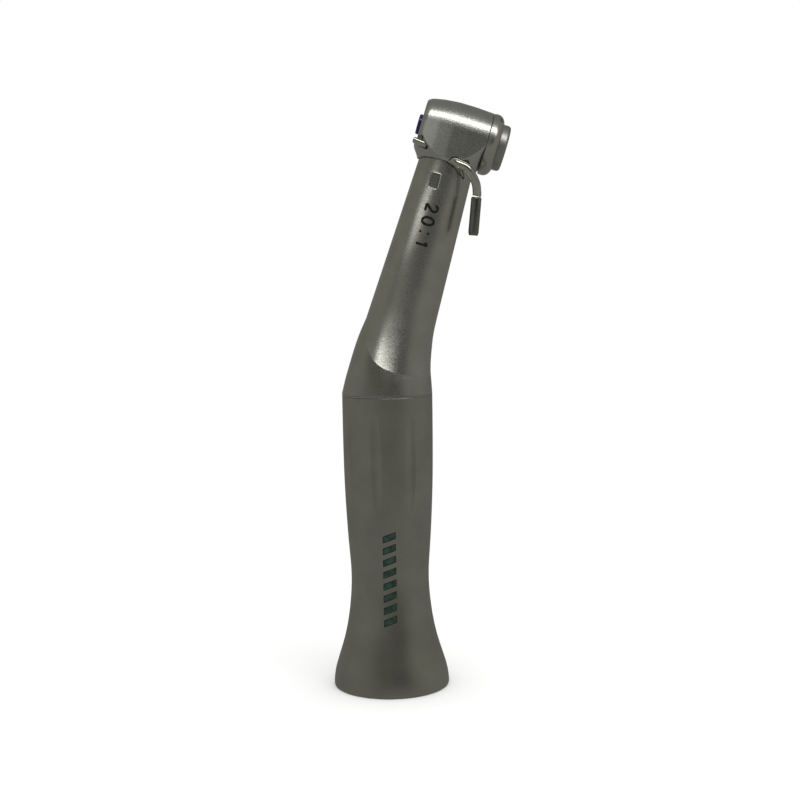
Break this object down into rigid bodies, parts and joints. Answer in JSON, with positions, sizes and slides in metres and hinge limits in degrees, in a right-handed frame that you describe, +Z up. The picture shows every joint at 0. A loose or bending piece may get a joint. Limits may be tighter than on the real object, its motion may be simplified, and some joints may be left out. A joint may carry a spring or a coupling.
{
  "type": "contra-angle dental handpiece",
  "caption": "Bent dental handpiece: waisted grip handle, angled neck, cross head with push-button chuck and a side irrigation tube; geared down from motor to chuck.",
  "frame": {"origin": "centre of the bounding box at the handle's rear face", "axes": "+Z up the handle from its rear face, +X the way the neck bends, towards the push button"},
  "size_m": [0.0316, 0.02, 0.1003],
  "materials": {
    "handle_steel": "satin, dark olive grey",
    "neck_steel": "satin",
    "head_steel": "satin",
    "bright_steel": "polished",
    "body_steel": "fine turned",
    "shaft_steel": "ground",
    "gear_steel": "hobbed and lapped",
    "spring_steel": "drawn",
    "bush_bronze": "turned",
    "seal_rubber": "matte",
    "blue_ring": "satin anodised look",
    "bearing_steel": "ground",
    "cage_polymer": "moulded"
  },
  "bodies": {
    "housing": {"button_spring": "spring_steel", "coupling_snap_ring": "spring_steel", "coupling_tube": "body_steel", "front_bush": "bush_bronze", "front_seal": "seal_rubber", "gearbox_sleeve": "body_steel", "handle_sheath": "handle_steel", "head_cap": "head_steel", "head_housing": "head_steel", "hose_nipple": "bright_steel", "input_bearing_outer_ring": "bearing_steel", "irrigation_tube": "bright_steel", "lock_key": "neck_steel", "neck_bearing_outer_ring": "bearing_steel", "neck_front_bush": "bush_bronze", "neck_sheath": "neck_steel", "rear_bush": "bush_bronze", "ring_gear": "gear_steel", "sheath_spacer_ring": "bright_steel", "spindle_front_bearing_outer_ring": "bearing_steel", "spindle_rear_bearing_outer_ring": "bearing_steel", "spray_nozzle": "bright_steel", "spring_seat": "body_steel", "tube_clip": "neck_steel"},
    "stage_carrier": {"main_shaft": "shaft_steel", "planet_carrier": "gear_steel", "planet_pin_1": "shaft_steel", "planet_pin_2": "shaft_steel", "planet_pin_3": "shaft_steel", "elbow_pinion": "gear_steel"},
    "input_drive": {"input_shaft": "shaft_steel", "drive_dog": "shaft_steel", "input_circlip": "spring_steel", "input_bearing_inner_ring": "bearing_steel"},
    "planet_1": {"planet_gear_1": "gear_steel"},
    "planet_2": {"planet_gear_2": "gear_steel"},
    "planet_3": {"planet_gear_3": "gear_steel"},
    "neck_drive": {"neck_shaft": "shaft_steel", "neck_shaft_spacer": "body_steel", "elbow_ring_gear": "gear_steel", "head_pinion": "gear_steel", "neck_bearing_inner_ring": "bearing_steel"},
    "spindle": {"chuck_spindle": "shaft_steel", "chuck_collet": "spring_steel", "colour_ring": "blue_ring", "spindle_gear": "gear_steel", "spindle_front_bearing_inner_ring": "bearing_steel", "spindle_rear_bearing_inner_ring": "bearing_steel"},
    "button": {"push_button": "head_steel", "chuck_pusher": "shaft_steel"},
    "input_cage": {"input_bearing_ball_cage": "cage_polymer"},
    "neck_cage": {"neck_bearing_ball_cage": "cage_polymer"},
    "spindle_front_cage": {"spindle_front_bearing_ball_cage": "cage_polymer"},
    "spindle_rear_cage": {"spindle_rear_bearing_ball_cage": "cage_polymer"}
  },
  "joints": [
    {"name": "main_shaft_spin", "type": "hinge", "parent": "housing", "child": "stage_carrier", "pos_m": [-0.00579, 0, 0.04], "axis": [0, 0, 1], "continuous": true},
    {"name": "input_spin", "type": "hinge", "parent": "housing", "child": "input_drive", "pos_m": [-0.00579, 0, 0.027], "axis": [0, 0, 1], "continuous": true},
    {"name": "planet_1_spin", "type": "hinge", "parent": "stage_carrier", "child": "planet_1", "pos_m": [-0.00264, 0, 0.0314], "axis": [0, 0, 1], "continuous": true},
    {"name": "planet_2_spin", "type": "hinge", "parent": "stage_carrier", "child": "planet_2", "pos_m": [-0.00737, 0.00273, 0.0314], "axis": [0, 0, 1], "continuous": true},
    {"name": "planet_3_spin", "type": "hinge", "parent": "stage_carrier", "child": "planet_3", "pos_m": [-0.00737, -0.00273, 0.0314], "axis": [0, 0, 1], "continuous": true},
    {"name": "neck_shaft_spin", "type": "hinge", "parent": "housing", "child": "neck_drive", "pos_m": [-0.00579, 0, 0.05455], "axis": [0.2924, 0, 0.9563], "continuous": true},
    {"name": "spindle_spin", "type": "hinge", "parent": "housing", "child": "spindle", "pos_m": [0.00634, 0, 0.09424], "axis": [0.9563, 0, -0.2924], "continuous": true},
    {"name": "button_press", "type": "slide", "parent": "housing", "child": "button", "axis": [-0.9563, 0, 0.2924], "range_m": [0, 0.0009], "stiffness_N_per_m": 4000, "springref_m": -0.001, "deforming": ["button_spring"]},
    {"name": "input_cage_spin", "type": "hinge", "parent": "housing", "child": "input_cage", "pos_m": [-0.00579, 0, 0.0268], "axis": [0, 0, 1], "continuous": true},
    {"name": "neck_cage_spin", "type": "hinge", "parent": "housing", "child": "neck_cage", "pos_m": [-0.00484, 0, 0.05766], "axis": [0.2924, 0, 0.9563], "continuous": true},
    {"name": "spindle_front_cage_spin", "type": "hinge", "parent": "housing", "child": "spindle_front_cage", "pos_m": [0.00244, 0, 0.09543], "axis": [0.9563, 0, -0.2924], "continuous": true},
    {"name": "spindle_rear_cage_spin", "type": "hinge", "parent": "housing", "child": "spindle_rear_cage", "pos_m": [0.01012, 0, 0.09308], "axis": [0.9563, 0, -0.2924], "continuous": true}
  ],
  "couplings": [
    {"joint": "input_spin", "follows": "main_shaft_spin", "ratio": 5},
    {"joint": "planet_1_spin", "follows": "main_shaft_spin", "ratio": -2.6667},
    {"joint": "planet_2_spin", "follows": "main_shaft_spin", "ratio": -2.6667},
    {"joint": "planet_3_spin", "follows": "main_shaft_spin", "ratio": -2.6667},
    {"joint": "neck_shaft_spin", "follows": "main_shaft_spin", "ratio": 0.5},
    {"joint": "spindle_spin", "follows": "main_shaft_spin", "ratio": 0.25},
    {"joint": "input_cage_spin", "follows": "main_shaft_spin", "ratio": 1.94},
    {"joint": "neck_cage_spin", "follows": "main_shaft_spin", "ratio": 0.19},
    {"joint": "spindle_front_cage_spin", "follows": "main_shaft_spin", "ratio": 0.10435},
    {"joint": "spindle_rear_cage_spin", "follows": "main_shaft_spin", "ratio": 0.10285}
  ]
}
